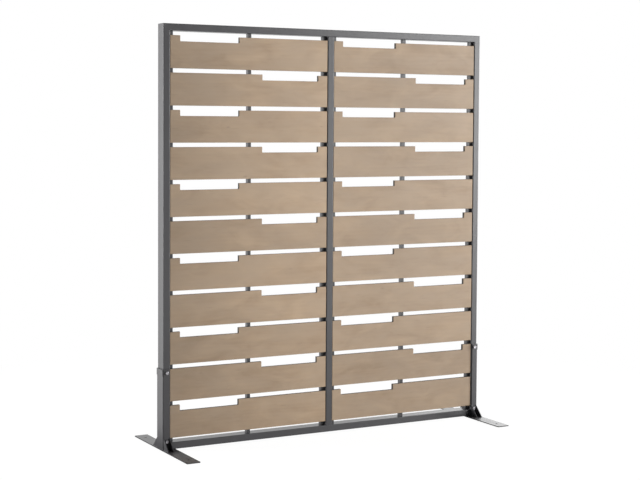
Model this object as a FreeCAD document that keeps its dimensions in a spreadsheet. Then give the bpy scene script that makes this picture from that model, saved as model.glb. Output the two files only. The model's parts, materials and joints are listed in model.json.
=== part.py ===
import FreeCAD, Part
import math
import os
import Sketcher
import types

# Garden privacy screen: a welded frame of rectangular tube with two bays of eleven notched
# boards, screwed to upright battens, standing in two bolted feet.
#
# Frame of the part: +X to the right seen from the front, -Y towards the viewer, +Z up.
# The origin lies on the ground, half way between the feet and at mid depth of the frame.

os.makedirs("parts", exist_ok=True)
doc = FreeCAD.newDocument("privacy_screen")
sheet = doc.addObject("Spreadsheet::Sheet", "Sizes")
V = FreeCAD.Vector
Z_UP = V(0, 0, 1)


# ---------------------------------------------------------------- driving dimensions

class Size:
    """A length that holds its number and the sheet expression it comes from."""

    def __init__(self, number, text):
        self.number = number
        self.text = text

    def joined(self, other, sign, number):
        return Size(number, "(%s %s %s)" % (self.text, sign, as_size(other).text))

    def __add__(self, other):
        return self.joined(other, "+", self.number + as_size(other).number)

    def __radd__(self, other):
        return as_size(other) + self

    def __sub__(self, other):
        return self.joined(other, "-", self.number - as_size(other).number)

    def __rsub__(self, other):
        return as_size(other) - self

    def __mul__(self, other):
        return self.joined(other, "*", self.number * as_size(other).number)

    def __rmul__(self, other):
        return as_size(other) * self

    def __truediv__(self, other):
        return self.joined(other, "/", self.number / as_size(other).number)

    def __neg__(self):
        return self * -1

    def __float__(self):
        return float(self.number)


def as_size(value):
    """A plain number or a Size, as a Size."""
    if isinstance(value, Size):
        return value
    return Size(value, "(%s)" % value)


DRIVING = {
    # Frame tube
    "frame_width": 1600,     # outer width of the frame
    "overall_height": 1800,  # ground to the top of the frame
    "tube_face": 30,         # width of the tube seen from the front
    "tube_depth": 60,        # depth of the tube, front to back
    "tube_wall": 2,          # wall of the frame tube
    "tube_corner": 2.5,      # outer corner radius of the frame tube
    # Boards
    "board_height": 138,     # height of one board
    "board_thick": 15,       # thickness of one board
    "board_recess": 2,       # boards lie this far behind the frame's front
    "board_gap": 1.5,        # expansion gap at each end of a board
    "board_edge": 1.5,       # radius of the eased board edges
    "notch_depth": 25,       # depth of the notch in a board's top edge
    "notch_width": 275,      # length of the notch
    "notch_inset": 47.5,     # from the upright to the notch
    "notch_corner": 3,       # radius in the notch's lower corners
    # Battens behind the boards
    "batten_long": 20,       # long side of the batten tube
    "batten_short": 15,      # short side of the batten tube
    "batten_wall": 1.5,      # wall of the batten tube
    # Board screws
    "screw_across": 4,       # diameter of a board screw
    "screw_head": 8,         # diameter of its pan head
    "screw_dome": 2.6,       # height of its pan head
    "screw_round": 1.8,      # radius round the pan head's rim
    "screw_grip": 11,        # depth of the screw in the board
    "screw_drill": 5,        # diameter of the clearance hole in the batten
    "screw_inset": 35,       # screw axis to the board's top and bottom edges
    # Feet
    "plate_length": 580,     # length of a base plate, front to back
    "plate_width": 60,       # width of a base plate
    "plate_thick": 4,        # thickness of a base plate
    "plate_edge": 3,         # corner radius of a base plate
    "anchor_across": 10,     # diameter of the ground anchor holes
    "anchor_inset": 55,      # anchor hole to the end of the base plate
    "channel_height": 342,   # height of the channel round the upright
    "channel_leg": 29,       # outer width of the channel's front and back legs
    "channel_wall": 3,       # sheet thickness of the channel
    "channel_bend": 1.5,     # inner bend radius of the channel
    "channel_slack": 0.3,    # clearance between the upright and the channel
    "gusset_reach": 50,      # leg of a gusset along the base plate
    "gusset_thick": 3,       # thickness of a gusset
    "gusset_inset": 4,       # outer gusset to the channel's outer face
    "strap_height": 28,      # height of the strap round the channel's top
    "strap_wall": 2,         # sheet thickness of the strap
    "relief_width": 6,       # width of the relief slot beside a strap bend
    "relief_rim": 4,         # strap left above and below the relief slot
    # Bolts through the feet
    "bolt_across": 8,        # diameter of a foot bolt
    "bolt_flats": 13,        # width over flats of its head and nut
    "bolt_head": 5.3,        # height of the bolt head
    "nut_height": 6.5,       # height of the nut
    "bolt_drill": 9,         # diameter of the bolt holes
    "bolt_tail": 3,          # thread beyond the nut
    "bolt_low": 35,          # lower bolt above the base plate
    "washer_across": 16,     # outer diameter of a washer
    "washer_thick": 1.6,     # thickness of a washer
}
rows = 11


def fill_sheet():
    """Write the driving dimensions into the sheet, each cell under its own alias."""
    sizes = types.SimpleNamespace()
    for row, (alias, number) in enumerate(DRIVING.items(), 1):
        sheet.set("A%d" % row, alias.replace("_", " "))
        sheet.set("B%d" % row, str(number))
        sheet.setAlias("B%d" % row, alias)
        setattr(sizes, alias, Size(number, "Sizes." + alias))
    sheet.recompute()
    return sizes


size = fill_sheet()

# Places worked out from the driving dimensions
upright_length = size.overall_height - size.plate_thick
upright_x = size.frame_width / 2 - size.tube_face / 2
frame_front = -size.tube_depth / 2
inner_bottom = size.plate_thick + size.tube_face
inner_top = size.overall_height - size.tube_face
inner_height = inner_top - inner_bottom
row_gap = (inner_height - rows * size.board_height) / (rows + 1)
row_pitch = size.board_height + row_gap
lowest_board = inner_bottom + row_gap
bay_width = (size.frame_width - 3 * size.tube_face) / 2
bay_centre = size.tube_face / 2 + bay_width / 2
board_length = bay_width - 2 * size.board_gap
board_front = frame_front + size.board_recess
board_back = board_front + size.board_thick
side_batten_x = bay_width / 2 - size.batten_long / 2
channel_depth = size.tube_depth + 2 * size.channel_slack + 2 * size.channel_wall
channel_outer = size.tube_face / 2 + size.channel_slack + size.channel_wall
leg_edge = size.channel_leg - channel_outer
strap_width = size.channel_leg + size.strap_wall
strap_depth = channel_depth + 2 * size.strap_wall
strap_bend = size.channel_bend + size.channel_wall
bolt_high = size.channel_height - size.strap_height / 2
BAYS = {"left": -1, "right": 1}


# ---------------------------------------------------------------- modelling helpers

def bind(item, name, amount):
    """Drive one property of a feature from the sheet."""
    item.setExpression(name, as_size(amount).text)


def place(item, x=0, y=0, z=0, turned=False):
    """Put a sub-part at x, y, z, half a turn about Z where turned is set."""
    item.Placement = FreeCAD.Placement(V(0, 0, 0), Z_UP, 180 if turned else 0)
    for axis, amount in zip("xyz", (x, y, z)):
        bind(item, "Placement.Base." + axis, amount)
    return item


def new_body(label):
    body = doc.addObject("PartDesign::Body", label)
    body.Label = label
    return body


def origin_item(body, role):
    """One of the body's own origin planes or axes."""
    return [item for item in body.Origin.OriginFeatures if item.Role == role][0]


def new_sketch(body, name, role):
    """A sketch on one of the body's own origin planes."""
    sketch = body.newObject("Sketcher::SketchObject", body.Name + "_" + name)
    sketch.AttachmentSupport = [(origin_item(body, role), "")]
    sketch.MapMode = "FlatFace"
    return sketch


def fix(sketch, kind, geometry, point, amount):
    """Tie a point's distance from the sketch origin to a size."""
    sketch.addConstraint(Sketcher.Constraint(kind, -1, 1, geometry, point, float(amount)))
    bind(sketch, "Constraints[%d]" % (sketch.ConstraintCount - 1), amount)


def outline(sketch, corners):
    """A closed polygon through corners given as (x, y) sizes."""
    first = sketch.GeometryCount
    points = [V(float(x), float(y), 0) for x, y in corners]
    for number, point in enumerate(points):
        following = points[(number + 1) % len(points)]
        sketch.addGeometry(Part.LineSegment(point, following), False)
    for number, (x, y) in enumerate(corners):
        before = first + (number - 1) % len(corners)
        sketch.addConstraint(Sketcher.Constraint("Coincident", before, 2, first + number, 1))
        fix(sketch, "DistanceX", first + number, 1, as_size(x))
        fix(sketch, "DistanceY", first + number, 1, as_size(y))


def rectangle(sketch, left, low, right, high):
    outline(sketch, [(left, low), (right, low), (right, high), (left, high)])


def centred(sketch, width, height):
    rectangle(sketch, -width / 2, -height / 2, width / 2, height / 2)


def hole(sketch, x, y, across):
    circle = Part.Circle(V(float(x), float(y), 0), Z_UP, float(across) / 2)
    number = sketch.addGeometry(circle, False)
    fix(sketch, "DistanceX", number, 3, as_size(x))
    fix(sketch, "DistanceY", number, 3, as_size(y))
    sketch.addConstraint(Sketcher.Constraint("Diameter", number, float(across)))
    bind(sketch, "Constraints[%d]" % (sketch.ConstraintCount - 1), across)


def pad(body, sketch, length, both_ways=False):
    feature = body.newObject("PartDesign::Pad", sketch.Name + "_pad")
    feature.Profile = sketch
    feature.SideType = "Symmetric" if both_ways else "One side"
    bind(feature, "Length", length)
    doc.recompute()
    return feature


def cut(body, sketch, depth=None, turned=False):
    """Pocket a sketch: through everything both ways, or blind to a depth.

    A blind pocket runs against the sketch's normal, or along it where turned is set.
    """
    before = body.Tip.Shape.Volume
    feature = body.newObject("PartDesign::Pocket", sketch.Name + "_cut")
    feature.Profile = sketch
    if depth is None:
        feature.Type = "ThroughAll"
        feature.SideType = "Symmetric"
    else:
        bind(feature, "Length", depth)
        feature.Reversed = turned
    doc.recompute()
    if not feature.Shape.Volume < before:
        raise RuntimeError(feature.Name + " cuts nothing")
    return feature


def rounded(body, radius, chosen, name):
    """Round the edges of the body's last feature that chosen(edge) picks."""
    base = body.Tip
    names = []
    for number, edge in enumerate(base.Shape.Edges, 1):
        if chosen(edge):
            names.append("Edge%d" % number)
    feature = body.newObject("PartDesign::Fillet", body.Name + "_" + name)
    feature.Base = (base, names)
    bind(feature, "Radius", radius)
    doc.recompute()
    return feature


def runs_along(direction):
    """Pick straight edges that run along a direction."""
    def chosen(edge):
        ends = edge.Vertexes[-1].Point - edge.Vertexes[0].Point
        return ends.Length > 0 and abs(ends.normalize().dot(direction)) > 0.999
    return chosen


def repeated_up(body, feature, step, count):
    """Repeat a feature upwards, count times in all."""
    pattern = body.newObject("PartDesign::LinearPattern", feature.Name + "_row")
    pattern.Originals = [feature]
    pattern.Direction = (origin_item(body, "Z_Axis"), [""])
    pattern.Mode = "Spacing"
    pattern.Occurrences = count
    bind(pattern, "Offset", step)
    body.Tip = pattern
    doc.recompute()
    return pattern


def grouped(label, solids):
    """Identical small pieces that share one node, each its own solid."""
    group = doc.addObject("Part::Feature", label)
    group.Label = label
    group.Shape = Part.makeCompound(solids)
    return group


# ---------------------------------------------------------------- frame

def tube(label, width, depth, length, role, along):
    """A rectangular tube with rounded corners, its section on an origin plane."""
    body = new_body(label)
    outside = new_sketch(body, "outside", role)
    centred(outside, width, depth)
    pad(body, outside, length, both_ways=role == "YZ_Plane")
    rounded(body, size.tube_corner, runs_along(along), "corners")
    inside = new_sketch(body, "inside", role)
    centred(inside, width - 2 * size.tube_wall, depth - 2 * size.tube_wall)
    cut(body, inside)
    return body


def outer_upright(label, side):
    """Side tube, mitred at the top, with the holes for the foot bolts.

    Local -X is the outer side, and Z starts at the tube's lower end.
    """
    body = tube(label, size.tube_face, size.tube_depth, upright_length, "XY_Plane", Z_UP)
    mitre = new_sketch(body, "mitre", "XZ_Plane")
    half = size.tube_face / 2
    clear = half + size.tube_face
    shoulder = upright_length - size.tube_face
    above = upright_length + size.tube_face
    outline(mitre, [(-half, upright_length), (half, shoulder), (clear, shoulder), (clear, above),
                    (-half, above)])
    cut(body, mitre)
    holes = new_sketch(body, "bolt_holes", "XZ_Plane")
    hole(holes, 0, size.bolt_low, size.bolt_drill)
    hole(holes, 0, bolt_high, size.bolt_drill)
    cut(body, holes)
    return place(body, side * upright_x, 0, size.plate_thick, turned=side > 0)


def centre_upright():
    """Middle tube, welded between the rails."""
    body = tube("centre_upright", size.tube_face, size.tube_depth, inner_height, "XY_Plane", Z_UP)
    return place(body, 0, 0, inner_bottom)


def top_rail():
    """Top tube, mitred at both ends to meet the side tubes."""
    body = tube("top_rail", size.tube_depth, size.tube_face, size.frame_width, "YZ_Plane", V(1, 0, 0))
    half = size.tube_face / 2
    below = -half - size.tube_face
    for name, side in BAYS.items():
        end = side * size.frame_width / 2
        shoulder = end - side * size.tube_face
        clear = end + side * size.tube_face
        mitre = new_sketch(body, name + "_mitre", "XZ_Plane")
        outline(mitre, [(end, half), (shoulder, -half), (shoulder, below), (clear, below),
                        (clear, half)])
        cut(body, mitre)
    return place(body, 0, 0, size.overall_height - half)


def bottom_rail():
    """Bottom tube, between the side tubes and resting on the base plates."""
    length = size.frame_width - 2 * size.tube_face
    body = tube("bottom_rail", size.tube_depth, size.tube_face, length, "YZ_Plane", V(1, 0, 0))
    return place(body, 0, 0, size.plate_thick + size.tube_face / 2)


# ---------------------------------------------------------------- battens and boards

def batten(label, width, depth, x):
    """A small tube behind the boards, drilled for two screws in each board."""
    body = new_body(label)
    outside = new_sketch(body, "outside", "XY_Plane")
    rectangle(outside, -width / 2, 0, width / 2, depth)
    pad(body, outside, inner_height)
    inside = new_sketch(body, "inside", "XY_Plane")
    rectangle(inside, -width / 2 + size.batten_wall, size.batten_wall, width / 2 - size.batten_wall,
              depth - size.batten_wall)
    cut(body, inside)
    holes = new_sketch(body, "screw_holes", "XZ_Plane")
    hole(holes, 0, row_gap + size.screw_inset, size.screw_drill)
    hole(holes, 0, row_gap + size.board_height - size.screw_inset, size.screw_drill)
    repeated_up(body, cut(body, holes), row_pitch, rows)
    return place(body, x, board_back, inner_bottom)


def bay_battens(name, side):
    """The three battens of one bay: two flat against the uprights, one on edge between them."""
    middle = side * bay_centre
    outward = side * side_batten_x
    batten(name + "_bay_outer_batten", size.batten_long, size.batten_short, middle + outward)
    batten(name + "_bay_middle_batten", size.batten_short, size.batten_long, middle)
    batten(name + "_bay_inner_batten", size.batten_long, size.batten_short, middle - outward)


def board(label, notch_side, x, z):
    """One board. Its back lies at local Y = 0 and its lower edge at Z = 0.

    The notch in the top edge lies towards the left (-1) or the right (+1).
    """
    body = new_body(label)
    half = board_length / 2
    face = new_sketch(body, "face", "XZ_Plane")
    rectangle(face, -half, 0, half, size.board_height)
    pad(body, face, size.board_thick)
    near = notch_side * (bay_width / 2 - size.notch_inset)
    far = near - notch_side * size.notch_width
    left, right = (near, far) if notch_side < 0 else (far, near)
    floor = size.board_height - size.notch_depth
    notch = new_sketch(body, "notch", "XZ_Plane")
    rectangle(notch, left, floor, right, size.board_height + size.notch_depth)
    cut(body, notch)

    def notch_floor_corner(edge):
        middle = edge.CenterOfMass
        return abs(middle.z - float(floor)) < 0.01 and runs_along(V(0, 1, 0))(edge)

    def outline_edge(edge):
        on_back = abs(edge.BoundBox.YMin) < 0.01
        on_front = abs(edge.BoundBox.YMax + float(size.board_thick)) < 0.01
        return on_back or on_front

    rounded(body, size.notch_corner, notch_floor_corner, "notch_corners")
    rounded(body, size.board_edge, outline_edge, "eased_edges")
    pilots = new_sketch(body, "pilot_holes", "XZ_Plane")
    for across in (-side_batten_x, as_size(0), side_batten_x):
        hole(pilots, across, size.screw_inset, size.screw_across)
        hole(pilots, across, size.board_height - size.screw_inset, size.screw_across)
    cut(body, pilots, size.screw_grip, turned=True)
    return place(body, x, board_back, z)


def board_screw(x, z, batten_depth):
    """A pan-head screw from the batten's back into the board."""
    bearing = float(board_back) + batten_depth
    tip = float(board_back - size.screw_grip)
    shank = Part.makeCylinder(float(size.screw_across) / 2, bearing - tip, V(x, tip, z), V(0, 1, 0))
    dome = float(size.screw_dome)
    head = Part.makeCylinder(float(size.screw_head) / 2, dome, V(x, bearing, z), V(0, 1, 0))
    rim = [edge for edge in head.Edges if edge.CenterOfMass.y > bearing + dome / 2
           and isinstance(edge.Curve, Part.Circle)]
    head = head.makeFillet(float(size.screw_round), rim)
    return shank.fuse(head)


def bay_screws(name, side):
    """All board screws of one bay: two in each board at each batten."""
    solids = []
    for row in range(rows):
        foot = float(lowest_board + row * row_pitch)
        for level in (float(size.screw_inset), float(size.board_height - size.screw_inset)):
            for across, depth in ((-1, size.batten_short), (0, size.batten_long), (1, size.batten_short)):
                x = float(side * bay_centre + across * side_batten_x)
                solids.append(board_screw(x, foot + level, float(depth)))
    return grouped(name + "_bay_board_screws", solids)


# ---------------------------------------------------------------- feet

def base_plate(label, side):
    """Flat bar under the upright, flush with the channel's outer face."""
    body = new_body(label)
    outer = -channel_outer
    shape = new_sketch(body, "shape", "XY_Plane")
    rectangle(shape, outer, -size.plate_length / 2, outer + size.plate_width, size.plate_length / 2)
    pad(body, shape, size.plate_thick)
    rounded(body, size.plate_edge, runs_along(Z_UP), "corners")
    anchors = new_sketch(body, "anchor_holes", "XY_Plane")
    anchor_y = size.plate_length / 2 - size.anchor_inset
    for end in (-1, 1):
        hole(anchors, outer + size.plate_width / 2, end * anchor_y, size.anchor_across)
    cut(body, anchors)
    return place(body, side * upright_x, 0, 0, turned=side > 0)


def wrap(label, side, width, depth, wall, bend, height, base):
    """A U of folded sheet round the upright, its legs ending short of the boards."""
    body = new_body(label)
    outside = new_sketch(body, "outside", "XY_Plane")
    rectangle(outside, leg_edge - width, -depth / 2, leg_edge, depth / 2)
    pad(body, outside, height)

    def upright_edge_at(x):
        return lambda edge: abs(edge.CenterOfMass.x - float(x)) < 0.01 and runs_along(Z_UP)(edge)

    rounded(body, bend + wall, upright_edge_at(leg_edge - width), "outer_bends")
    inside = new_sketch(body, "inside", "XY_Plane")
    back_wall = leg_edge - width + wall
    rectangle(inside, back_wall, -depth / 2 + wall, leg_edge + wall, depth / 2 - wall)
    cut(body, inside)
    rounded(body, bend, upright_edge_at(back_wall), "inner_bends")
    place(body, side * upright_x, 0, base, turned=side > 0)
    return body


def foot_channel(label, side):
    """The channel that holds the upright, drilled for both bolts."""
    body = wrap(label, side, size.channel_leg, channel_depth, size.channel_wall,
                size.channel_bend, size.channel_height, size.plate_thick)
    holes = new_sketch(body, "bolt_holes", "XZ_Plane")
    hole(holes, 0, size.bolt_low, size.bolt_drill)
    hole(holes, 0, bolt_high, size.bolt_drill)
    cut(body, holes)
    return body


def foot_strap(label, side):
    """The strap round the channel's top, with a relief slot beside each bend."""
    body = wrap(label, side, strap_width, strap_depth, size.strap_wall, strap_bend,
                size.strap_height, size.plate_thick + size.channel_height - size.strap_height)
    holes = new_sketch(body, "bolt_holes", "XZ_Plane")
    hole(holes, 0, size.strap_height / 2, size.bolt_drill)
    slot_left = -channel_outer
    slot_right = slot_left + size.relief_width
    rectangle(holes, slot_left, size.relief_rim, slot_right, size.strap_height - size.relief_rim)
    cut(body, holes)
    return body


def gusset(label, side, across, root, end):
    """A triangular plate on the base plate, at the front (-1) or back (1) of the channel.

    It stands at local X across. Its upright edge lies root from the frame's middle plane.
    """
    body = new_body(label)
    face = new_sketch(body, "face", "YZ_Plane")
    toe = channel_depth / 2 + size.gusset_reach
    outline(face, [(end * root, 0), (end * toe, 0), (end * root, toe - root)])
    pad(body, face, size.gusset_thick, both_ways=True)
    return place(body, side * (upright_x - across), 0, size.plate_thick)


def hexagon(length, y):
    """A hexagonal head or nut from y towards the back, two flats level."""
    corner = float(size.bolt_flats) / math.sqrt(3)
    points = []
    for number in range(7):
        angle = math.radians(60 * number)
        points.append(V(corner * math.cos(angle), y, corner * math.sin(angle)))
    return Part.Face(Part.makePolygon(points)).extrude(V(0, length, 0))


def bolt_seats():
    """X, Z and the front face that each bolt's head bears on."""
    seats = []
    for side in (-1, 1):
        x = side * float(upright_x)
        seats.append((x, float(size.plate_thick + size.bolt_low), float(-channel_depth / 2)))
        seats.append((x, float(size.plate_thick + bolt_high), float(-strap_depth / 2)))
    return seats


def foot_bolts():
    """Four hexagon bolts through the feet and uprights, heads at the front."""
    solids = []
    for x, z, seat in bolt_seats():
        reach = 2 * abs(seat) + float(size.washer_thick + size.nut_height + size.bolt_tail)
        head = hexagon(float(size.bolt_head), seat - float(size.bolt_head))
        shank = Part.makeCylinder(float(size.bolt_across) / 2, reach, V(0, seat, 0), V(0, 1, 0))
        bolt = head.fuse(shank).removeSplitter()
        bolt.translate(V(x, 0, z))
        solids.append(bolt)
    return grouped("foot_bolts", solids)


def foot_washers():
    """A washer under each nut. The heads bear on the painted sheet itself."""
    solids = []
    thick = float(size.washer_thick)
    for x, z, seat in bolt_seats():
        centre = V(x, -seat, z)
        ring = Part.makeCylinder(float(size.washer_across) / 2, thick, centre, V(0, 1, 0))
        bore = Part.makeCylinder(float(size.bolt_drill) / 2, thick, centre, V(0, 1, 0))
        solids.append(ring.cut(bore))
    return grouped("foot_washers", solids)


def foot_nuts():
    """A nut on the back of each foot bolt."""
    solids = []
    for x, z, seat in bolt_seats():
        low = -seat + float(size.washer_thick)
        height = float(size.nut_height)
        bore = Part.makeCylinder(float(size.bolt_across) / 2, height, V(0, low, 0), V(0, 1, 0))
        nut = hexagon(height, low).cut(bore)
        nut.translate(V(x, 0, z))
        solids.append(nut)
    return grouped("foot_nuts", solids)


# ---------------------------------------------------------------- assembly

outer_upright("left_upright", -1)
centre_upright()
outer_upright("right_upright", 1)
top_rail()
bottom_rail()

for bay, side in BAYS.items():
    bay_battens(bay, side)
    for row in range(1, rows + 1):
        height = lowest_board + (rows - row) * row_pitch
        notch_side = -1 if row % 2 else 1
        board("%s_board_%02d" % (bay, row), notch_side, side * bay_centre, height)
    bay_screws(bay, side)

# The outer gussets stand on the legs' faces, the inner ones lie against the legs' free edges
GUSSETS = {
    "outer": (size.gusset_inset + size.gusset_thick / 2 - channel_outer, channel_depth / 2),
    "inner": (leg_edge + size.gusset_thick / 2, channel_depth / 2 - size.channel_wall),
}
for foot, side in BAYS.items():
    base_plate(foot + "_base_plate", side)
    foot_channel(foot + "_foot_channel", side)
    foot_strap(foot + "_foot_strap", side)
    for end_name, end in (("front", -1), ("back", 1)):
        for where, (across, root) in GUSSETS.items():
            gusset("%s_%s_%s_gusset" % (foot, end_name, where), side, across, root, end)

foot_bolts()
foot_washers()
foot_nuts()


# ---------------------------------------------------------------- checks and files

doc.recompute()
for item in doc.Objects:
    if "Invalid" in item.State or "Error" in item.State:
        raise RuntimeError("%s is in state %s" % (item.Name, item.State))

subparts = [item for item in doc.Objects
            if item.isDerivedFrom("PartDesign::Body") or item.TypeId == "Part::Feature"]
for item in subparts:
    if item.Shape.isNull() or not item.Shape.isValid():
        raise RuntimeError(item.Label + " has no valid shape")

for item in subparts:
    item.Shape.exportStep(os.path.join("parts", item.Label + ".step"))

whole = Part.makeCompound([item.Shape for item in subparts]).BoundBox
print("%d sub-parts, %.1f x %.1f x %.1f mm" % (len(subparts), whole.XLength, whole.YLength,
                                               whole.ZLength))
print("gap between boards %.2f mm" % row_gap.number)
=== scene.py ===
import bmesh
import bpy
import json
import math
from mathutils import Euler, Matrix, Vector


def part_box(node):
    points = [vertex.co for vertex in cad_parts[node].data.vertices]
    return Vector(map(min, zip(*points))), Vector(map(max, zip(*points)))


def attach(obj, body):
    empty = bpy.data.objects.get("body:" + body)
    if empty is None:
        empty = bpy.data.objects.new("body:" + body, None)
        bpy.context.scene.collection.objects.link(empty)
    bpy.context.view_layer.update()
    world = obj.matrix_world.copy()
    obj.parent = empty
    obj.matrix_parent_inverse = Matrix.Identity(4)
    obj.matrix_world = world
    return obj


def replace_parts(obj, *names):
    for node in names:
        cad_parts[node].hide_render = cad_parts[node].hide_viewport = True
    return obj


# Garden privacy screen: finish of the painted tubes and the weathered boards, detailed
# fasteners and weld beads, and the studio round it. Metres, in the frame of the solids.

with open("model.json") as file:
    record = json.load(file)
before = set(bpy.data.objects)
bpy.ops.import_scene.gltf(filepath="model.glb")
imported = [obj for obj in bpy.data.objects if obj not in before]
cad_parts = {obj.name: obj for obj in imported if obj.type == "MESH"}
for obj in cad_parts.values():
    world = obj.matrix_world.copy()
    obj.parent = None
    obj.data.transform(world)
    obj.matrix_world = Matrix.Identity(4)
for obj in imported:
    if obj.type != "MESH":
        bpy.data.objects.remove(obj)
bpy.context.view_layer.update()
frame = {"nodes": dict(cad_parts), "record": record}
nodes = frame["nodes"]

MM = 0.001
ROWS = 11
EASED_EDGE = 1.5 * MM
SIDES = {"left": -1, "right": 1}
ENDS = {"front": -1, "back": 1}
PAINT_SLOT, WOOD_SLOT, STEEL_SLOT = "frame_paint", "board_wood", "bolt_steel"


# ---------------------------------------------------------------- places read from the frame

def board_name(bay, row):
    """Name of a board; rows count from 1 at the top."""
    return "%s_board_%02d" % (bay, row)


def row_layout():
    """Spacing of the rows and the middle of the gap under the lowest board."""
    top_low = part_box(board_name("left", 1))[0].z
    bottom_low, bottom_high = (corner.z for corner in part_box(board_name("left", ROWS)))
    pitch = (top_low - bottom_low) / (ROWS - 1)
    gap = pitch - (bottom_high - bottom_low)
    return pitch, bottom_low - gap / 2


row_pitch, rows_start = row_layout()


# ---------------------------------------------------------------- shader building

# Places of the sockets of a Mix node that blends colours.
MIX_FACTOR, MIX_FIRST, MIX_SECOND = 0, 6, 7
MIX_RESULT = 2

# Where nearly all values of a noise lie.
NOISE_RANGE = (0.36, 0.64)


class Shader:
    """Adds nodes to one node tree and feeds their sockets with values or other nodes."""

    def __init__(self, tree):
        self.tree = tree

    def add(self, kind, inputs=None, **settings):
        node = self.tree.nodes.new("ShaderNode" + kind)
        for name, value in settings.items():
            setattr(node, name, value)
        for name, value in (inputs or {}).items():
            self.feed(node.inputs[name], value)
        return node

    def feed(self, socket, value):
        if isinstance(value, bpy.types.NodeSocket):
            self.tree.links.new(value, socket)
        else:
            socket.default_value = value

    def math(self, operation, first, second=0.0):
        return self.add("Math", {0: first, 1: second}, operation=operation).outputs[0]

    def noise(self, vector, scale, detail, roughness=0.5, distortion=0.0):
        inputs = {"Vector": vector, "Scale": scale, "Detail": detail, "Roughness": roughness,
                  "Distortion": distortion}
        return self.add("TexNoise", inputs).outputs["Fac"]

    def stretched(self, vector, stretch):
        return self.add("Mapping", {"Vector": vector, "Scale": stretch}).outputs[0]

    def weighted(self, parts):
        """The sum of several values, each times its share."""
        total = None
        for value, share in parts:
            part = self.math("MULTIPLY", value, share)
            total = part if total is None else self.math("ADD", total, part)
        return total

    def spread(self, value, low, high, to_low=0.0, to_high=1.0):
        """A value from low to high brought to the range from to_low to to_high, and kept in it."""
        inputs = {"Value": value, "From Min": low, "From Max": high, "To Min": to_low,
                  "To Max": to_high}
        return self.add("MapRange", inputs).outputs[0]

    def between(self, factor, first, second):
        """A number that goes from first to second as factor goes from 0 to 1."""
        return self.spread(factor, 0.0, 1.0, first, second)

    def mix(self, factor, first, second):
        """A colour that goes from first to second as factor goes from 0 to 1."""
        node = self.add("Mix", data_type="RGBA")
        self.feed(node.inputs[MIX_FACTOR], factor)
        self.feed(node.inputs[MIX_FIRST], first)
        self.feed(node.inputs[MIX_SECOND], second)
        return node.outputs[MIX_RESULT]


def new_group(name, inputs, outputs):
    """An empty node group with named sockets: its shader, input sockets and output node."""
    tree = bpy.data.node_groups.new(name, "ShaderNodeTree")
    for label, kind, value in inputs:
        socket = tree.interface.new_socket(name=label, in_out="INPUT", socket_type="NodeSocket" + kind)
        if value is not None:
            socket.default_value = value
    for label, kind in outputs:
        tree.interface.new_socket(name=label, in_out="OUTPUT", socket_type="NodeSocket" + kind)
    shader = Shader(tree)
    given = tree.nodes.new("NodeGroupInput")
    result = tree.nodes.new("NodeGroupOutput")
    return shader, given.outputs, result


MOTTLE_FINER = 6.3
MOTTLE_BROAD, MOTTLE_FINE = 0.7, 0.3
RELIEF_BROADER = 0.03


def mottle_group():
    """Soft uneven tone over a surface, as paint, wood and plating all show."""
    shader, given, result = new_group(
        "mottle",
        [("Vector", "Vector", None), ("Color", "Color", (0.5, 0.5, 0.5, 1)),
         ("Tint", "Color", (0.5, 0.5, 0.5, 1)), ("Scale", "Float", 5.0), ("Amount", "Float", 0.3)],
        [("Color", "Color")])
    finer = shader.math("MULTIPLY", given["Scale"], MOTTLE_FINER)
    broad = shader.noise(given["Vector"], given["Scale"], detail=2.0)
    fine = shader.noise(given["Vector"], finer, detail=4.0)
    patches = shader.spread(shader.weighted([(broad, MOTTLE_BROAD), (fine, MOTTLE_FINE)]), *NOISE_RANGE)
    factor = shader.math("MULTIPLY", patches, given["Amount"])
    shader.feed(result.inputs["Color"], shader.mix(factor, given["Color"], given["Tint"]))
    return shader.tree


def fine_relief_group():
    """Fine relief of a surface, and a roughness that varies with it and with a broader noise."""
    shader, given, result = new_group(
        "fine_relief",
        [("Vector", "Vector", None), ("Scale", "Float", 800.0), ("Roughness", "Float", 0.5),
         ("Variation", "Float", 0.1)],
        [("Height", "Float"), ("Roughness", "Float")])
    broader = shader.math("MULTIPLY", given["Scale"], RELIEF_BROADER)
    fine = shader.noise(given["Vector"], given["Scale"], detail=2.0, roughness=0.6)
    broad = shader.noise(given["Vector"], broader, detail=3.0)
    centred = shader.math("SUBTRACT", shader.math("ADD", fine, broad), 1.0)
    shift = shader.math("MULTIPLY", centred, given["Variation"])
    shader.feed(result.inputs["Height"], fine)
    shader.feed(result.inputs["Roughness"], shader.math("ADD", given["Roughness"], shift))
    return shader.tree


MOTTLE = mottle_group()
FINE_RELIEF = fine_relief_group()


def grouped(shader, tree, inputs):
    """The outputs of a node group placed in a material with its own values."""
    node = shader.add("Group", node_tree=tree)
    for name, value in inputs.items():
        shader.feed(node.inputs[name], value)
    return node.outputs


def new_material(name, preview):
    """A material with its surface shader and Object coordinates."""
    material = bpy.data.materials.new(name)
    material.use_nodes = True
    material.diffuse_color = preview
    shader = Shader(material.node_tree)
    surface = material.node_tree.nodes["Principled BSDF"]
    place = shader.add("TexCoord").outputs["Object"]
    return material, shader, surface, place


def bumped(shader, height, strength, distance):
    """The normal of a surface with this relief."""
    inputs = {"Height": height, "Strength": strength, "Distance": distance}
    return shader.add("Bump", inputs).outputs[0]


# ---------------------------------------------------------------- finishes

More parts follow.
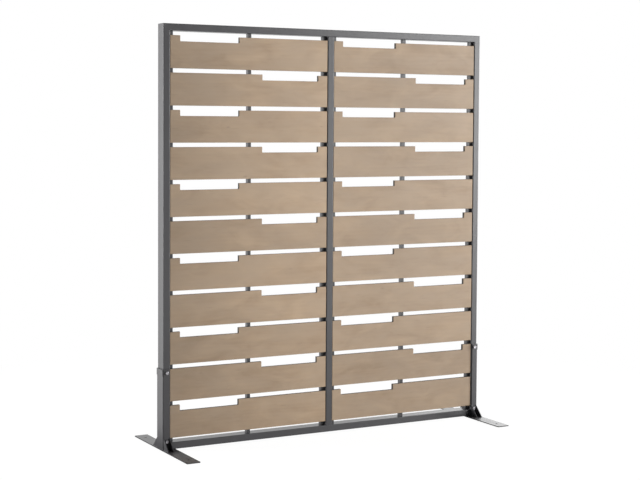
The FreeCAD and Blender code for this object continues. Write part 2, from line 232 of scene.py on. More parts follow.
PAINT = (0.029, 0.028, 0.031, 1)
PAINT_TINT = (0.036, 0.035, 0.038, 1)
WOOD_DARK = (0.240, 0.163, 0.097, 1)
WOOD_LIGHT = (0.324, 0.230, 0.144, 1)
WOOD_GREY = (0.280, 0.206, 0.138, 1)
WOOD_KNOT = (0.150, 0.096, 0.060, 1)
DARK_BOARD_EDGE = (0.022, 0.018, 0.015, 1)
ZINC = (0.36, 0.35, 0.37, 1)
ZINC_TINT = (0.27, 0.26, 0.27, 1)
PAINT_AND_WOOD_IOR = 1.5
RELIEF_STRENGTH, RELIEF_DEPTH = 0.25, 0.4 * MM
ZINC_RELIEF_STRENGTH, ZINC_RELIEF_DEPTH = 0.2, 0.1 * MM

# The wood. A stretch says how close a pattern repeats along the board and across it. A share says
# how much of the tone the pattern makes.
FIBRE_STRETCH, FIBRE_SHARE, FIBRE_HEIGHT = (5.0, 260.0, 260.0), 0.06, 0.6
STREAK_STRETCH, STREAK_SHARE = (2.0, 22.0, 22.0), 0.24
CLOUD_STRETCH, CLOUD_SHARE = (6.0, 13.0, 13.0), 0.67
RING_SPACING, RING_SHARE = 0.019, 0.03
PITH_STRETCH, PITH_PLACE = (0.05, 1.0, 1.0), (0.0, 0.06, 0.9)
PITH_WANDER_STRETCH, PITH_WANDER = (1.6, 9.0, 9.0), 0.085
GREYING_STRETCH = (1.0, 2.6, 2.6)
KNOT_STRETCH, KNOT_DEPTH = (3.2, 9.0, 9.0), 0.4
KNOT_RIM, KNOT_HEART = 0.045, 0.012
FLECK_STRETCH, FLECK_DEPTH = (16.0, 210.0, 210.0), 0.25
FLECK_RIM, FLECK_HEART = 0.66, 0.85
RELIEF_STRETCH = (0.03, 1.0, 1.0)
DARK_EDGE_ROUGHNESS = 0.9

# What sets one board apart from the next: its seed, its tone and how far its pattern is moved.
BOARD_SEED = 5275.0
BOARD_TONES = (0.925, 1.045)
BOARD_SHIFT = (9.0, 0.05, 3.0)

# Painted light and shade across the screen, each from one X to another: the brightness of the left
# bay's outer part, what its inner part adds, and what the centre and the right bay's inner part take
# away.
LEFT_BAY_OUTER = (-0.74, -0.42, 0.87, 1.07)
LEFT_BAY_INNER = (-0.42, -0.03, 0.0, 0.10)
CENTRE_STEP = (-0.01, 0.01, 0.0, 0.12)
RIGHT_BAY_INNER = (0.02, 0.35, 0.0, 0.10)


def powder_coat():
    """Satin dark grey powder coat with its fine orange peel."""
    material, shader, surface, place = new_material("powder_coat", PAINT)
    tone = grouped(shader, MOTTLE, {"Vector": place, "Color": PAINT, "Tint": PAINT_TINT,
                                    "Scale": 4.0, "Amount": 0.8})
    relief = grouped(shader, FINE_RELIEF, {"Vector": place, "Scale": 620.0, "Roughness": 0.35,
                                           "Variation": 0.08})
    shader.feed(surface.inputs["Base Color"], tone["Color"])
    shader.feed(surface.inputs["Roughness"], relief["Roughness"])
    shader.feed(surface.inputs["Normal"],
                bumped(shader, relief["Height"], RELIEF_STRENGTH, RELIEF_DEPTH))
    surface.inputs["IOR"].default_value = PAINT_AND_WOOD_IOR
    return material


def board_offset(shader, place):
    """The coordinates moved at random for each board, so that no two match, and a random value."""
    part = shader.add("SeparateXYZ", {"Vector": place}).outputs
    height = shader.math("SUBTRACT", part["Z"], rows_start)
    row = shader.math("FLOOR", shader.math("DIVIDE", height, row_pitch))
    bay = shader.math("SIGN", part["X"])
    label = shader.add("CombineXYZ", {"X": row, "Y": bay, "Z": BOARD_SEED}).outputs[0]
    random = shader.add("TexWhiteNoise", {"Vector": label}, noise_dimensions="3D").outputs
    shift = shader.add("VectorMath", {0: random["Color"], 1: BOARD_SHIFT},
                       operation="MULTIPLY").outputs[0]
    moved = shader.add("VectorMath", {0: place, 1: shift}, operation="ADD").outputs[0]
    return moved, random["Value"]


def board_edge(shader, place):
    """1 on the edges of a board and in its screw holes, which are made dark, 0 on its front and back.
    """
    low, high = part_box(board_name("left", 1))
    depth = shader.add("SeparateXYZ", {"Vector": place}).outputs["Y"]
    off_middle = shader.math("ABSOLUTE", shader.math("SUBTRACT", depth, (low.y + high.y) / 2))
    face = (high.y - low.y) / 2
    return shader.spread(off_middle, face - EASED_EDGE, face - 0.7 * EASED_EDGE, 1.0, 0.0)


def growth_rings(shader, moved):
    """Faint growth rings round a pith that wanders along the board."""
    wander = shader.noise(shader.stretched(moved, PITH_WANDER_STRETCH), 1.0, detail=2.0)
    across = shader.stretched(moved, PITH_STRETCH)
    distance = shader.add("VectorMath", {0: across, 1: PITH_PLACE},
                          operation="DISTANCE").outputs["Value"]
    bent = shader.math("ADD", distance, shader.math("MULTIPLY", wander, PITH_WANDER))
    phase = shader.math("MULTIPLY", bent, 2 * math.pi / RING_SPACING)
    return shader.math("MULTIPLY_ADD", shader.math("SINE", phase), 0.5)


def painted_light_drift(shader, place):
    """Painted light and shade across the boards: the left bay pales towards the middle, and the right
    bay is palest there and even further out.
    """
    across = shader.add("SeparateXYZ", {"Vector": place}).outputs["X"]
    outer = shader.spread(across, *LEFT_BAY_OUTER)
    inner = shader.spread(across, *LEFT_BAY_INNER)
    step = shader.spread(across, *CENTRE_STEP)
    right = shader.spread(across, *RIGHT_BAY_INNER)
    return shader.math("SUBTRACT", shader.math("ADD", outer, inner), shader.math("ADD", step, right))


def grain_of_wood(shader, moved, fibre):
    """The wood's own light and dark: fibres, streaks, clouds and growth rings."""
    streak = shader.noise(shader.stretched(moved, STREAK_STRETCH), 1.0, detail=2.0, distortion=0.5)
    cloud = shader.noise(shader.stretched(moved, CLOUD_STRETCH), 1.0, detail=2.0, distortion=0.8)
    grain = shader.weighted([(fibre, FIBRE_SHARE), (streak, STREAK_SHARE), (cloud, CLOUD_SHARE),
                             (growth_rings(shader, moved), RING_SHARE)])
    return shader.mix(shader.spread(grain, *NOISE_RANGE), WOOD_DARK, WOOD_LIGHT)


def marks_in_wood(shader, moved):
    """How strongly a knot or a small dark fleck shows."""
    cells = shader.add("TexVoronoi", {"Vector": shader.stretched(moved, KNOT_STRETCH), "Scale": 1.0,
                                      "Randomness": 1.0}).outputs["Distance"]
    knots = shader.math("MULTIPLY", shader.spread(cells, KNOT_RIM, KNOT_HEART), KNOT_DEPTH)
    specks = shader.noise(shader.stretched(moved, FLECK_STRETCH), 1.0, detail=1.0)
    flecks = shader.spread(specks, FLECK_RIM, FLECK_HEART, 0.0, FLECK_DEPTH)
    return shader.math("MAXIMUM", knots, flecks)


def board_wood():
    """Brushed, weathered brown-grey wood, its grain along the board, with dark edges and painted light
    and shade across the screen.
    """
    material, shader, surface, place = new_material("board_wood", WOOD_LIGHT)
    moved, chance = board_offset(shader, place)
    fibre = shader.noise(shader.stretched(moved, FIBRE_STRETCH), 1.0, detail=4.0, roughness=0.6)
    weathered = grouped(shader, MOTTLE, {"Vector": shader.stretched(moved, GREYING_STRETCH),
                                         "Color": grain_of_wood(shader, moved, fibre),
                                         "Tint": WOOD_GREY, "Scale": 4.5, "Amount": 0.75})
    marked = shader.mix(marks_in_wood(shader, moved), weathered["Color"], WOOD_KNOT)
    # The random tone of each board times painted light and shade that drift across the screen.
    shade = shader.math("MULTIPLY", shader.between(chance, *BOARD_TONES), painted_light_drift(shader, place))
    toned = shader.add("HueSaturation", {"Color": marked, "Value": shade}).outputs[0]
    edge = board_edge(shader, place)
    relief = grouped(shader, FINE_RELIEF, {"Vector": shader.stretched(moved, RELIEF_STRETCH),
                                           "Scale": 900.0, "Roughness": 0.58, "Variation": 0.16})
    height = shader.math("ADD", relief["Height"], shader.math("MULTIPLY", fibre, FIBRE_HEIGHT))
    shader.feed(surface.inputs["Base Color"], shader.mix(edge, toned, DARK_BOARD_EDGE))
    shader.feed(surface.inputs["Roughness"], shader.between(edge, relief["Roughness"], DARK_EDGE_ROUGHNESS))
    shader.feed(surface.inputs["Normal"], bumped(shader, height, RELIEF_STRENGTH, RELIEF_DEPTH))
    surface.inputs["IOR"].default_value = PAINT_AND_WOOD_IOR
    return material


def zinc_plate():
    """Bright zinc plating, faintly mottled and finely pitted."""
    material, shader, surface, place = new_material("zinc_plate", ZINC)
    tone = grouped(shader, MOTTLE, {"Vector": place, "Color": ZINC, "Tint": ZINC_TINT,
                                    "Scale": 140.0, "Amount": 0.7})
    relief = grouped(shader, FINE_RELIEF, {"Vector": place, "Scale": 2600.0, "Roughness": 0.30,
                                           "Variation": 0.18})
    shader.feed(surface.inputs["Base Color"], tone["Color"])
    shader.feed(surface.inputs["Roughness"], relief["Roughness"])
    shader.feed(surface.inputs["Normal"],
                bumped(shader, relief["Height"], ZINC_RELIEF_STRENGTH, ZINC_RELIEF_DEPTH))
    surface.inputs["Metallic"].default_value = 1.0
    return material


FINISHES = {
    PAINT_SLOT: powder_coat(),
    WOOD_SLOT: board_wood(),
    STEEL_SLOT: zinc_plate(),
}


def finish_nodes():
    """Give every node the finish of its material slot."""
    for entry in frame["record"]["subparts"]:
        mesh = nodes[entry["node"]].data
        mesh.materials.clear()
        mesh.materials.append(FINISHES[entry["material_slot"]])


# ---------------------------------------------------------------- mesh modelling

SELECT_MODES = {"verts": "VERT", "edges": "EDGE", "faces": "FACE"}
ALONG_Y = (math.pi / 2, 0, 0)
SQUARE_TO = 0.99
ROUNDED_ANGLE = math.radians(25)
SMOOTH_ANGLE = math.radians(35)


def start(kind, name, **settings):
    """Add one primitive by itself, put its place into its mesh and open it for editing."""
    bpy.ops.object.select_all(action="DESELECT")
    getattr(bpy.ops.mesh, "primitive_%s_add" % kind)(**settings)
    piece = bpy.context.object
    piece.name = name
    bpy.ops.object.transform_apply(location=True, rotation=True, scale=True)
    bpy.ops.object.mode_set(mode="EDIT")
    return piece


def pick(piece, items, chosen):
    """Select only the verts, edges or faces of the opened mesh that chosen(item) accepts."""
    bpy.ops.mesh.select_mode(type=SELECT_MODES[items])
    bpy.ops.mesh.select_all(action="DESELECT")
    mesh = bmesh.from_edit_mesh(piece.data)
    for item in getattr(mesh, items):
        item.select_set(chosen(item))
    mesh.select_flush_mode()
    bmesh.update_edit_mesh(piece.data)


def end_face(direction):
    """Pick the faces at the front (-1) or back (1) end of a piece that lies along Y."""
    return lambda face: face.normal.y * direction > SQUARE_TO


def extrude_along_y(length):
    """Extrude the picked faces along Y, towards the front where length is negative."""
    bpy.ops.mesh.extrude_region_move(TRANSFORM_OT_translate={"value": (0, length, 0)})


def close(piece, rounding=None):
    """Leave editing with the faces outwards, round the sharp edges and shade by angle."""
    bpy.ops.mesh.select_all(action="SELECT")
    bpy.ops.mesh.normals_make_consistent(inside=False)
    bpy.ops.object.mode_set(mode="OBJECT")
    if rounding:
        modifier = piece.modifiers.new("rounding", "BEVEL")
        modifier.width = rounding
        modifier.segments = 2
        modifier.limit_method = "ANGLE"
        modifier.angle_limit = ROUNDED_ANGLE
        bpy.ops.object.modifier_apply(modifier=modifier.name)
    bpy.ops.object.shade_smooth_by_angle(angle=SMOOTH_ANGLE)
    return piece


def joined(name, pieces, slot):
    """Make one piece of several, in the finish of a material slot, on the part's body."""
    bpy.ops.object.select_all(action="DESELECT")
    for piece in pieces:
        piece.select_set(True)
    bpy.context.view_layer.objects.active = pieces[0]
    bpy.ops.object.join()
    whole = bpy.context.object
    whole.name = name
    whole.data.name = name
    whole.data.materials.clear()
    whole.data.materials.append(FINISHES[slot])
    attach(whole, "root")
    return whole


# ---------------------------------------------------------------- foot bolts and nuts

BOLT_FLATS = 13 * MM
BOLT_RADIUS = 4 * MM
HEAD_HEIGHT = 5.3 * MM
WASHER_FACE = 0.4 * MM
NUT_HEIGHT = 6.5 * MM
WASHER_THICK = 1.6 * MM
BOLT_TAIL = 3 * MM
THREAD_PITCH = 1.25 * MM
THREAD_CORE = 3.35 * MM
THREAD_TURNS = 4
THREAD_STEPS = 16
THREAD_RIDGE = 0.92 * THREAD_PITCH / math.sqrt(3)
BOLT_POINT = 0.7 * MM
POINT_WIDTH = 0.8
END_CIRCLE = 0.475 * BOLT_FLATS
CONE_ANGLE = math.radians(30)
HEX_CORNER = BOLT_FLATS / math.sqrt(3)
BLANK_RADIUS = 1.001 * HEX_CORNER
HEAD_DISH, HEAD_DISH_RIM = 0.35 * MM, 1.9 * MM
HEAD_ROUNDING = 0.2 * MM
WASHER_FACE_STEP = 0.8 * MM
NUT_BORE = 1.01 * BOLT_RADIUS
NUT_SINK = 0.6 * MM
NUT_ROUNDING = 0.15 * MM


def bolt_places():
    """X and Z of each foot bolt, with the Y of the sheet that its head bears on."""
    low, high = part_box("foot_bolts")
    places = []
    for side in SIDES:
        x = low.x + HEX_CORNER if side == "left" else high.x - HEX_CORNER
        places.append((x, low.z + BOLT_FLATS / 2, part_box(side + "_foot_channel")[0].y))
        places.append((x, high.z - BOLT_FLATS / 2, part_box(side + "_foot_strap")[0].y))
    return places


def hexagon_blank(name, x, z, front, height, chamfered):
    """A forged hexagon along Y from front, turned to a cone at the ends listed (-1 front, 1 back)."""
    drop = (HEX_CORNER - END_CIRCLE) * math.tan(CONE_ANGLE)
    straight = height - drop * len(chamfered)
    middle = front + height / 2 - drop * sum(chamfered) / 2
    piece = start("cylinder", name, vertices=48, radius=BLANK_RADIUS, depth=straight,
                  location=(x, middle, z), rotation=ALONG_Y)
    for end in chamfered:
        pick(piece, "faces", end_face(end))
        bpy.ops.mesh.inset(thickness=HEX_CORNER - END_CIRCLE)
        bpy.ops.transform.translate(value=(0, end * drop, 0))
    for number in range(6):
        angle = math.radians(30 + 60 * number)
        flat = Vector((math.cos(angle), 0, math.sin(angle)))
        bpy.ops.mesh.select_all(action="SELECT")
        bpy.ops.mesh.bisect(plane_co=Vector((x, middle, z)) + flat * BOLT_FLATS / 2, plane_no=flat,
                            use_fill=True, clear_outer=True)
    return piece


def bolt_head(x, z, seat):
    """A hexagon head with a dished face and a washer face under it."""
    forged = HEAD_HEIGHT - WASHER_FACE
    piece = hexagon_blank("bolt_head", x, z, seat - HEAD_HEIGHT, forged, [-1])
    pick(piece, "faces", end_face(-1))
    bpy.ops.mesh.inset(thickness=HEAD_DISH_RIM)
    bpy.ops.transform.translate(value=(0, HEAD_DISH, 0))
    pick(piece, "faces", end_face(1))
    bpy.ops.mesh.inset(thickness=WASHER_FACE_STEP)
    bpy.ops.transform.translate(value=(0, WASHER_FACE, 0))
    return close(piece, rounding=HEAD_ROUNDING)


def bolt_shank(x, z, seat, tip):
    """The plain shank, the core of the thread and the turned point."""
    thread_start = tip - BOLT_TAIL - NUT_HEIGHT
    piece = start("cylinder", "bolt_shank", vertices=32, radius=BOLT_RADIUS, depth=thread_start - seat,
                  location=(x, (seat + thread_start) / 2, z), rotation=ALONG_Y)
    pick(piece, "faces", end_face(1))
    bpy.ops.mesh.inset(thickness=BOLT_RADIUS - THREAD_CORE)
    extrude_along_y(tip - BOLT_POINT - thread_start)
    extrude_along_y(BOLT_POINT)
    bpy.ops.transform.resize(value=(POINT_WIDTH, 1, POINT_WIDTH), center_override=(x, tip, z))
    return close(piece)


def bolt_thread(x, z, tip):
    """The helical ridge of the thread, from inside the nut nearly to the point."""
    length = THREAD_PITCH * THREAD_TURNS
    piece = start("circle", "bolt_thread", vertices=3, radius=THREAD_RIDGE, fill_type="NOTHING",
                  location=(THREAD_CORE, 0, 0), rotation=(0, 0, -math.pi / 2))
    bpy.ops.object.mode_set(mode="OBJECT")
    modifier = piece.modifiers.new("helix", "SCREW")
    modifier.axis = "Y"
    modifier.angle = 2 * math.pi
    modifier.screw_offset = THREAD_PITCH
    modifier.iterations = THREAD_TURNS
    modifier.steps = THREAD_STEPS
    modifier.render_steps = THREAD_STEPS
    bpy.ops.object.modifier_apply(modifier=modifier.name)
    bpy.ops.object.mode_set(mode="EDIT")
    bpy.ops.mesh.select_all(action="SELECT")
    bpy.ops.mesh.fill_holes(sides=3)
    bpy.ops.mesh.select_all(action="SELECT")
    bpy.ops.transform.translate(value=(x, tip - length - THREAD_PITCH, z))
    return close(piece)


def foot_nut(x, z, front):
    """A hexagon nut, coned and countersunk at both ends."""
    piece = hexagon_blank("foot_nut", x, z, front, NUT_HEIGHT, [-1, 1])
    for end in (-1, 1):
        pick(piece, "faces", end_face(end))
        bpy.ops.mesh.inset(thickness=END_CIRCLE - NUT_BORE - NUT_SINK)
        bpy.ops.mesh.inset(thickness=NUT_SINK)
        bpy.ops.transform.translate(value=(0, -end * NUT_SINK, 0))
    bore_ends = (front + NUT_SINK, front + NUT_HEIGHT - NUT_SINK)

    def closes_the_bore(face):
        depth = face.calc_center_median().y
        at_an_end = min(abs(depth - end) for end in bore_ends) < 0.01 * MM
        return at_an_end and abs(face.normal.y) > SQUARE_TO

    pick(piece, "faces", closes_the_bore)
    bpy.ops.mesh.bridge_edge_loops()
    return close(piece, rounding=NUT_ROUNDING)


def foot_fasteners():
    """The four bolts through the feet, with their nuts."""
    bolts = []
    nuts = []
    for x, z, seat in bolt_places():
        nut_front = -seat + WASHER_THICK
        tip = nut_front + NUT_HEIGHT + BOLT_TAIL
        bolts.append(bolt_head(x, z, seat))
        bolts.append(bolt_shank(x, z, seat, tip))
        bolts.append(bolt_thread(x, z, tip))
        nuts.append(foot_nut(x, z, nut_front))
    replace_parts(joined("threaded_foot_bolts", bolts, STEEL_SLOT), "foot_bolts")
    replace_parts(joined("countersunk_foot_nuts", nuts, STEEL_SLOT), "foot_nuts")


# ---------------------------------------------------------------- board screws

SCREW_RADIUS = 2 * MM
SCREW_HEAD_RADIUS = 4 * MM
SCREW_HEAD_HEIGHT = 2.6 * MM
SCREW_RIM = 1.1 * MM
SCREW_CROWN = 0.9 * MM
CROWN_WIDTH, TOP_WIDTH = 0.84, 0.62
DRIVE_RIM = 0.35 * MM
DRIVE_DEPTH = 1.2 * MM
DRIVE_REACH = 1.9 * MM
LOBE_WAIST = 0.72
SCREW_POINT = 3 * MM
SCREW_POINT_WIDTH = 0.1
SCREW_GRIP = 11 * MM
SCREW_INSET = 35 * MM


def model_screw():
    """A pan-head screw along Y, its head's bearing face at the origin, with a lobed drive."""
    piece = start("cylinder", "board_screw", vertices=12, radius=SCREW_HEAD_RADIUS, depth=SCREW_RIM,
                  location=(0, SCREW_RIM / 2, 0), rotation=ALONG_Y)
    pick(piece, "faces", end_face(1))
    top = SCREW_HEAD_HEIGHT - SCREW_RIM - SCREW_CROWN
    for rise, width in ((SCREW_CROWN, CROWN_WIDTH), (top, TOP_WIDTH)):
        extrude_along_y(rise)
        bpy.ops.transform.resize(value=(width, 1, width), center_override=(0, 0, 0))
    bpy.ops.mesh.inset(thickness=DRIVE_RIM)
    extrude_along_y(-DRIVE_DEPTH)

    def inward_lobe(vert):
        across = math.hypot(vert.co.x, vert.co.z)
        corner = round(math.atan2(vert.co.z, vert.co.x) / math.radians(30))
        return across < DRIVE_REACH and vert.co.y > SCREW_RIM and corner % 2 == 0

    pick(piece, "verts", inward_lobe)
    bpy.ops.transform.resize(value=(LOBE_WAIST, 1, LOBE_WAIST), center_override=(0, 0, 0))
    return close(piece)


def model_screw_shank(length):
    """The hidden shank of a board screw, from the head's bearing face to its point."""
    straight = length - SCREW_POINT
    piece = start("cylinder", "board_screw_shank", vertices=6, radius=SCREW_RADIUS, depth=straight,
                  location=(0, -straight / 2, 0), rotation=ALONG_Y)
    pick(piece, "faces", end_face(-1))
    extrude_along_y(-SCREW_POINT)
    bpy.ops.transform.resize(value=(SCREW_POINT_WIDTH, 1, SCREW_POINT_WIDTH), center_override=(0, 0, 0))
    return close(piece)


def copied(model, place):
    """A copy of a modelled piece with its own mesh, moved from the origin to a place."""
    piece = model.copy()
    piece.data = model.data.copy()
    piece.data.transform(Matrix.Translation(place))
    bpy.context.scene.collection.objects.link(piece)
    return piece


def board_screws(bay):
    """Two screws in each board at each batten of one bay, driven from the back."""
    head = model_screw()
    pieces = []
    models = [head]
    board_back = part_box(board_name(bay, 1))[1].y
    for batten in ("outer", "middle", "inner"):
        low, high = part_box("%s_bay_%s_batten" % (bay, batten))
        shank = model_screw_shank(high.y - board_back + SCREW_GRIP)
        models.append(shank)
        for row in range(1, ROWS + 1):
            bottom, top = (corner.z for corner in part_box(board_name(bay, row)))
            for height in (bottom + SCREW_INSET, top - SCREW_INSET):
                place = Vector(((low.x + high.x) / 2, high.y, height))
                pieces.append(copied(head, place))
                pieces.append(copied(shank, place))
    for model in models:
        bpy.data.objects.remove(model)
    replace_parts(joined(bay + "_bay_pan_head_screws", pieces, STEEL_SLOT), bay + "_bay_board_screws")


# ---------------------------------------------------------------- welds

WELD_RADIUS = 1.8 * MM
SMALL_WELD_RADIUS = 1.2 * MM
RIPPLE = 1.3 * MM
STITCH_LENGTH = 25 * MM
STITCHES = 5
SEAM_END = 3 * MM
RIPPLE_WAIST = 0.86
SEAM_END_WIDTH = 0.5
WELD_UNEVENNESS = 0.12 * MM
X, Y, Z = 0, 1, 2


def weld(first, last, axis, radius):
    """A rippled bead along one axis between two points of an inner corner."""
    first, last = Vector(first), Vector(last)
    run = (last - first).length
    turn = (last - first).to_track_quat("Z", "X").to_euler()
    piece = start("cylinder", "weld", vertices=8, radius=radius, depth=run,
                  location=(first + last) / 2, rotation=turn)
    ripples = 2 * max(2, round(run / RIPPLE / 2))
    step = run / (ripples + 1)

    def ring(vert):
        return round(abs(vert.co[axis] - first[axis]) / step)

    def along_the_run(edge):
        return abs(edge.verts[0].co[axis] - edge.verts[1].co[axis]) > 0.9 * run

    def about_the_run(amount):
        value = [amount] * 3
        value[axis] = 1
        bpy.ops.transform.resize(value=value, center_override=first)

    pick(piece, "edges", along_the_run)
    bpy.ops.mesh.subdivide(number_cuts=ripples)
    pick(piece, "verts", lambda vert: ring(vert) % 2 == 1)
    about_the_run(RIPPLE_WAIST)
    pick(piece, "verts", lambda vert: ring(vert) in (0, ripples + 1))
    about_the_run(SEAM_END_WIDTH)
    bpy.ops.mesh.select_all(action="SELECT")
    bpy.ops.transform.vertex_random(offset=WELD_UNEVENNESS, seed=ripples)
    bpy.ops.object.mode_set(mode="OBJECT")
    bpy.ops.object.shade_smooth()
    return piece


def gusset_welds(foot, end):
    """Beads of the outer and inner gusset at one end of a foot, and of the leg between them."""
    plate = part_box(foot + "_base_plate")[1].z
    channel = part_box(foot + "_foot_channel")
    leg = channel[0].y if end == "front" else channel[1].y
    beads = []
    inner_faces = []
    for where, outwards in (("outer", SIDES[foot]), ("inner", -SIDES[foot])):
        low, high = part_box("%s_%s_%s_gusset" % (foot, end, where))
        away = high.x if outwards > 0 else low.x
        facing = low.x if outwards > 0 else high.x
        toe = low.y if end == "front" else high.y
        inner_faces.append(facing)
        seam_end = toe - ENDS[end] * SEAM_END
        beads.append(weld((away, leg, plate), (away, seam_end, plate), Y, WELD_RADIUS))
        side = away if where == "outer" else facing
        beads.append(weld((side, leg, plate), (side, leg, high.z - SEAM_END), Z, SMALL_WELD_RADIUS))
    left, right = sorted(inner_faces)
    beads.append(weld((left, leg, plate), (right, leg, plate), X, SMALL_WELD_RADIUS))
    return beads


def frame_welds():
    """Beads in the inner corners where the rails meet the uprights."""
    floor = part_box("bottom_rail")[1].z
    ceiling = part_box("top_rail")[0].z
    beads = []
    for name in ("left_upright", "centre_upright", "right_upright"):
        low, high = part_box(name)
        faces = {"left_upright": [high.x], "right_upright": [low.x]}.get(name, [low.x, high.x])
        for x in faces:
            for z in (floor, ceiling):
                beads.append(weld((x, low.y + SEAM_END, z), (x, high.y - SEAM_END, z), Y, WELD_RADIUS))
    return beads


def batten_welds(bay):
    """Stitches behind the flat battens and beads at both ends of the middle one."""
    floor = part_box("bottom_rail")[1].z
    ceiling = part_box("top_rail")[0].z
    beads = []
    for which, towards in (("outer", SIDES[bay]), ("inner", -SIDES[bay])):
        low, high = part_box("%s_bay_%s_batten" % (bay, which))
        x = high.x if towards > 0 else low.x
        for number in range(STITCHES):
            z = floor + (number + 0.5) * (ceiling - floor) / STITCHES
            start_z, end_z = z - STITCH_LENGTH / 2, z + STITCH_LENGTH / 2
            beads.append(weld((x, high.y, start_z), (x, high.y, end_z), Z, WELD_RADIUS))
    low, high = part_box("%s_bay_middle_batten" % bay)
    for z in (floor, ceiling):
        beads.append(weld((low.x, high.y, z), (high.x, high.y, z), X, SMALL_WELD_RADIUS))
    return beads


def welds():
    """All the weld beads, as one piece for each foot, one for the frame and one for the battens."""
    for foot in SIDES:
        beads = gusset_welds(foot, "front") + gusset_welds(foot, "back")
        joined(foot + "_foot_welds", beads, PAINT_SLOT)
    joined("frame_corner_welds", frame_welds(), PAINT_SLOT)
    joined("batten_stitch_welds", batten_welds("left") + batten_welds("right"), PAINT_SLOT)


# ---------------------------------------------------------------- studio

CAMERA_PLACE = (-3.1023, -5.5843, 1.3935)
CAMERA_YAW = 0.50217
CAMERA_PITCH = 0.04989
CAMERA_ROLL = 0.0059
IMAGE_WIDTH, IMAGE_HEIGHT = 640, 480
FOCAL_PIXELS = 1430.5
PRINCIPAL_ROW = 193.11
SENSOR_WIDTH = 36.0

# The floor: its size and drop, where it fades into the background, its matt tone, the brightness that
# the eye and a mirror see near the object, where the mirror sees painted shade, and the faint tone that
# takes the shadow.
FLOOR_SIZE, FLOOR_DROP = 60, 0.5 * MM
FLOOR_NEAR, FLOOR_FAR = 0.9, 2.4
FLOOR_TONE = (0.86, 0.86, 0.86, 1)
FLOOR_SEEN, FLOOR_MIRRORED = 0.94, 0.9
SHADOW_TONE = (0.10, 0.10, 0.10, 1)

# A painted contact shadow on the floor just left of the base plates, which their edges mirror as dark.
CONTACT_DEPTH = 0.35
CONTACT_SHIFT = 0.06
CONTACT_SHADOW_MIRRORED = 0.05

# The surroundings: their light on matt surfaces, and the backdrop that glossy ones mirror.
AMBIENT = 0.18
BACKDROP, BACKDROP_RIGHT = 1.25, 4.4
RIGHT_FROM, RIGHT_TO = 0.52, 0.60
BEHIND_FROM, BEHIND_TO = -0.3, 0.3

# Name, place, aim, width, height and watts of each softbox.
SOFTBOXES = (
    ("front_softbox", (6.4, -6.4, 2.0), (0.6, 0, 1.0), 4.0, 4.0, 520),
    ("right_softbox", (6.8, -2.6, 1.8), (0.6, 0, 0.8), 2.2, 3.6, 560),
    ("left_softbox", (-4.8, 2.4, 1.4), (-0.8, 0, 1.0), 2.4, 2.8, 405),
    ("fill_softbox", (-5.6, -4.6, 1.2), (-0.8, 0, 0.4), 2.4, 1.6, 20),
)


def studio_camera():
    """The photograph's own view: a long lens with a little downward shift."""
    data = bpy.data.cameras.new("studio_camera")
    data.sensor_width = SENSOR_WIDTH
    data.lens = FOCAL_PIXELS * SENSOR_WIDTH / IMAGE_WIDTH
    data.shift_y = (PRINCIPAL_ROW - IMAGE_HEIGHT / 2) / IMAGE_WIDTH
    camera = bpy.data.objects.new("studio_camera", data)
    bpy.context.scene.collection.objects.link(camera)
    level = Euler((math.pi / 2 - CAMERA_PITCH, 0, -CAMERA_YAW), "XYZ").to_matrix().to_4x4()
    rolled = Matrix.Rotation(CAMERA_ROLL, 4, "Z")
    camera.matrix_world = Matrix.Translation(CAMERA_PLACE) @ level @ rolled
    bpy.context.scene.camera = camera


def softbox(name, place, aim, width, height, watts):
    """A rectangular lamp at a place, turned towards its aim."""
    data = bpy.data.lights.new(name, "AREA")
    data.shape = "RECTANGLE"
    data.size = width
    data.size_y = height
    data.energy = watts
    lamp = bpy.data.objects.new(name, data)
    bpy.context.scene.collection.objects.link(lamp)
    lamp.location = place
    lamp.rotation_euler = (Vector(aim) - Vector(place)).to_track_quat("-Z", "Y").to_euler()


def seen_by_eye_or_gloss(shader):
    """1 for rays that show the background: straight from the lens, mirrored or refracted."""
    path = shader.add("LightPath").outputs
    shown = shader.math("MAXIMUM", path["Is Camera Ray"], path["Is Glossy Ray"])
    return shader.math("MAXIMUM", shown, path["Is Transmission Ray"])


def studio_world():
    """White surroundings that light matt surfaces only as strongly as AMBIENT.

    Glossy surfaces mirror a dark room in front and a backdrop behind that brightens to the right.
    """
    world = bpy.data.worlds.new("studio_world")
    bpy.context.scene.world = world
    world.use_nodes = True
    shader = Shader(world.node_tree)
    background = world.node_tree.nodes["Background"]
    background.inputs["Color"].default_value = (1, 1, 1, 1)
    towards = shader.add("SeparateXYZ", {"Vector": shader.add("TexCoord").outputs["Generated"]}).outputs
    path = shader.add("LightPath").outputs
    backdrop = shader.spread(towards["X"], RIGHT_FROM, RIGHT_TO, BACKDROP, BACKDROP_RIGHT)
    room = shader.math("MULTIPLY", shader.spread(towards["Y"], BEHIND_FROM, BEHIND_TO), backdrop)
    mirrored = shader.math("MULTIPLY", path["Is Glossy Ray"], room)
    shown = shader.math("MAXIMUM", path["Is Camera Ray"], path["Is Transmission Ray"])
    strength = shader.math("MAXIMUM", shader.math("MAXIMUM", shown, mirrored), AMBIENT)
    shader.feed(background.inputs["Strength"], strength)


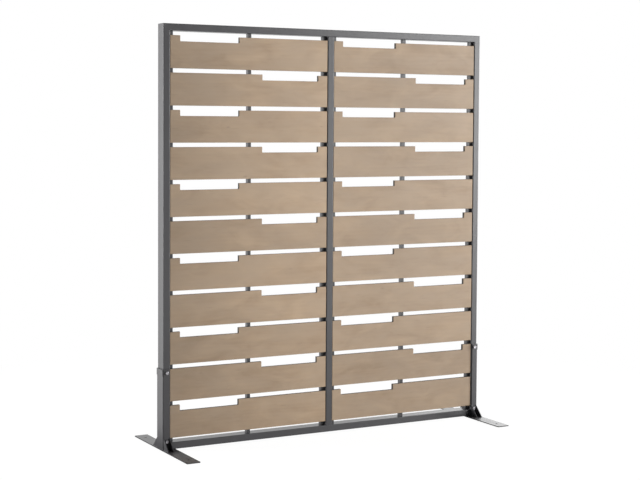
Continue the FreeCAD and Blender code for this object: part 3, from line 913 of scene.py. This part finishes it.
def painted_contact_shadow_mask(shader, place):
    """0 in the painted contact shadow on the floor just left of the base plates, where their edges
    mirror it, 1 away from there.
    """
    part = shader.add("SeparateXYZ", {"Vector": place}).outputs
    low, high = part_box("right_base_plate")
    folded = shader.math("ABSOLUTE", shader.math("ADD", part["X"], CONTACT_SHIFT))
    across = shader.math("ABSOLUTE", shader.math("SUBTRACT", folded, (low.x + high.x) / 2))
    clear = shader.spread(across, CONTACT_SHIFT, 1.6 * CONTACT_SHIFT)
    ahead = shader.spread(shader.math("ABSOLUTE", part["Y"]), CONTACT_DEPTH, 1.3 * CONTACT_DEPTH)
    return shader.math("MAXIMUM", clear, ahead)


def studio_floor():
    """A wide pale floor with a faint shadow, fading into the surroundings seen or mirrored; mirrors see
    painted shade near the object and a painted contact shadow beside the base plates.
    """
    bpy.ops.mesh.primitive_plane_add(size=FLOOR_SIZE, location=(0, 0, -FLOOR_DROP))
    floor = bpy.context.object
    floor.name = "studio_floor"
    material, shader, surface, place = new_material("pale_floor", FLOOR_TONE)
    matt = shader.add("BsdfDiffuse", {"Color": FLOOR_TONE})
    distance = shader.add("VectorMath", {0: place}, operation="LENGTH").outputs["Value"]
    away = shader.spread(distance, FLOOR_NEAR, FLOOR_FAR)
    seen = shader.between(away, FLOOR_SEEN, 1.0)
    # Mirrors see a painted contact shadow beside the base plates and painted shade near the object.
    contact = shader.between(painted_contact_shadow_mask(shader, place), CONTACT_SHADOW_MIRRORED, 1.0)
    mirrored = shader.math("MULTIPLY", shader.between(away, FLOOR_MIRRORED, BACKDROP), contact)
    is_mirror = shader.add("LightPath").outputs["Is Glossy Ray"]
    strength = shader.between(is_mirror, seen, mirrored)
    glow = shader.add("Emission", {"Color": (1, 1, 1, 1), "Strength": strength})
    shadow = shader.add("BsdfDiffuse", {"Color": shader.mix(away, SHADOW_TONE, (0, 0, 0, 1))})
    shown = shader.add("AddShader", {0: shadow.outputs[0], 1: glow.outputs[0]})
    floor_mix = shader.add("MixShader", {0: seen_by_eye_or_gloss(shader), 1: matt.outputs[0],
                                         2: shown.outputs[0]})
    material.node_tree.nodes.remove(surface)
    output = material.node_tree.nodes["Material Output"]
    shader.feed(output.inputs["Surface"], floor_mix.outputs[0])
    floor.data.materials.append(material)


def studio():
    """Camera, surroundings, floor and lamps."""
    studio_camera()
    studio_world()
    studio_floor()
    for lamp in SOFTBOXES:
        softbox(*lamp)
    bpy.context.scene.view_settings.view_transform = "Standard"


# ---------------------------------------------------------------- making

finish_nodes()
foot_fasteners()
for bay in SIDES:
    board_screws(bay)
welds()
studio()
